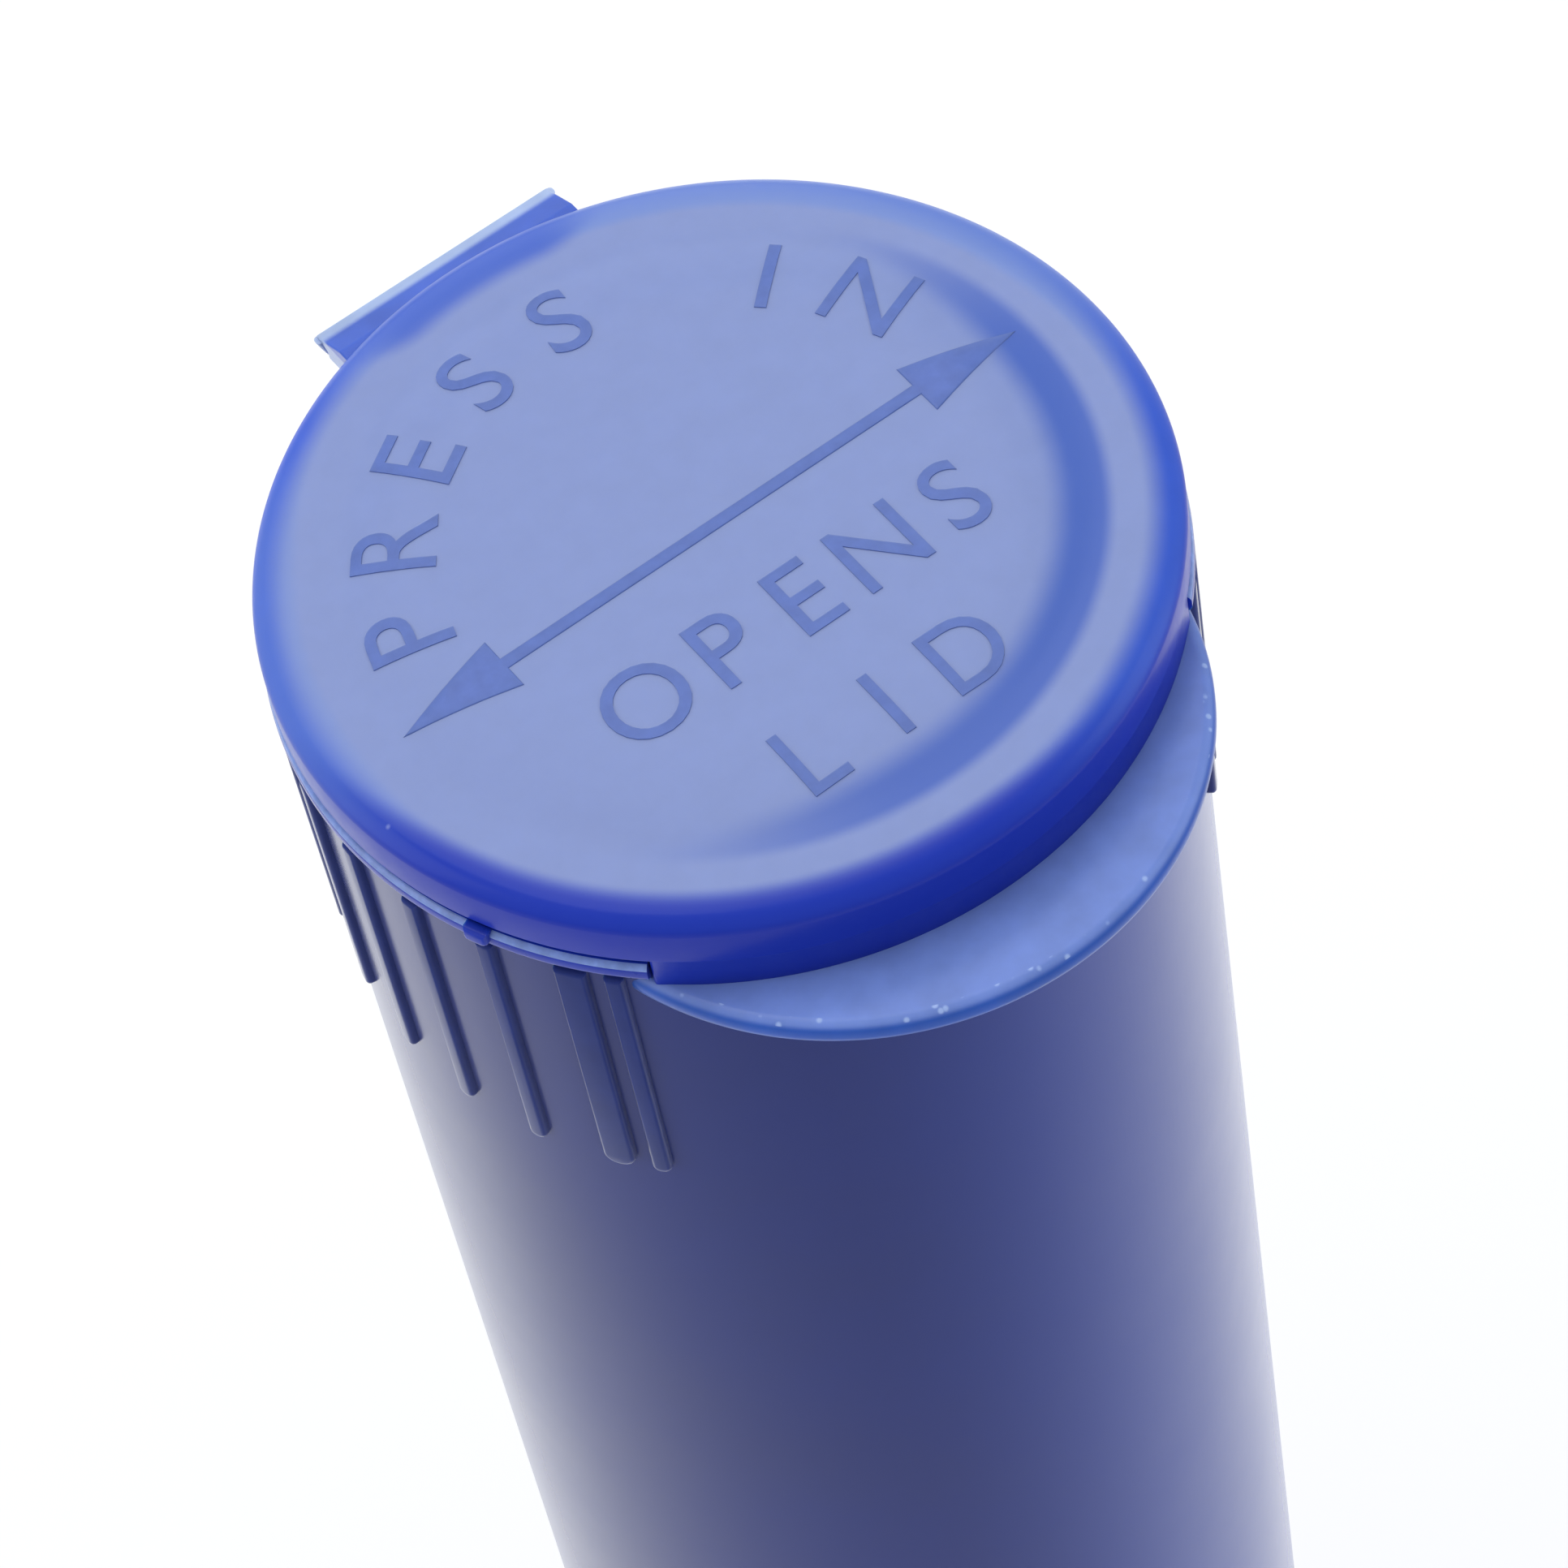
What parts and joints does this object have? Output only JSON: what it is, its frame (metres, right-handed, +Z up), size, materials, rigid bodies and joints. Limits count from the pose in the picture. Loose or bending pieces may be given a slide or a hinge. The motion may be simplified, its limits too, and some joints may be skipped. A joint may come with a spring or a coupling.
{
  "type": "hinged lid squeeze tube",
  "caption": "Slim round storage tube with a snap-in lid on a living hinge, a thumb tab and ribs on the squeeze sides.",
  "frame": {"origin": "centre of the tube's flat base, on the tube's axis", "axes": "+Z up along the tube to the lid, +Y towards the hinge, -Y towards the thumb tab, X through the two squeeze sides"},
  "size_m": [0.0214, 0.0243, 0.098],
  "materials": {
    "tube_plastic": "satin translucent blue polypropylene",
    "lid_plastic": "satin translucent blue polypropylene, thin and pale",
    "tab_plastic": "satin translucent blue polypropylene",
    "plug_plastic": "satin translucent blue polypropylene, deep where thick",
    "web_plastic": "thin, stretched, nearly clear blue polypropylene",
    "rib_plastic": "satin translucent blue polypropylene"
  },
  "bodies": {
    "tube": {"tube": "tube_plastic", "hinge_lug": "tube_plastic", "squeeze_rib_left_1": "rib_plastic", "squeeze_rib_left_2": "rib_plastic", "squeeze_rib_left_3": "rib_plastic", "squeeze_rib_left_4": "rib_plastic", "squeeze_rib_left_5": "rib_plastic", "squeeze_rib_left_6": "rib_plastic", "squeeze_rib_left_7": "rib_plastic", "squeeze_rib_left_8": "rib_plastic", "squeeze_rib_left_9": "rib_plastic", "squeeze_rib_right_1": "rib_plastic", "squeeze_rib_right_2": "rib_plastic", "squeeze_rib_right_3": "rib_plastic", "squeeze_rib_right_4": "rib_plastic", "squeeze_rib_right_5": "rib_plastic", "squeeze_rib_right_6": "rib_plastic", "squeeze_rib_right_7": "rib_plastic", "squeeze_rib_right_8": "rib_plastic", "squeeze_rib_right_9": "rib_plastic"},
    "hinge_web": {"hinge_web": "web_plastic"},
    "lid": {"lid": "lid_plastic", "hinge_flange": "lid_plastic", "plug_ring": "plug_plastic", "thumb_tab": "tab_plastic"}
  },
  "joints": [
    {"name": "web_bend", "type": "hinge", "parent": "tube", "child": "hinge_web", "pos_m": [0, 0.0113, 0.09573], "axis": [-1, 0, 0], "range_deg": [0, 87.5]},
    {"name": "lid_swing", "type": "hinge", "parent": "hinge_web", "child": "lid", "pos_m": [0, 0.0113, 0.09663], "axis": [-1, 0, 0], "range_deg": [0, 87.5]}
  ],
  "couplings": [
    {"joint": "web_bend", "follows": "lid_swing", "ratio": 1}
  ]
}
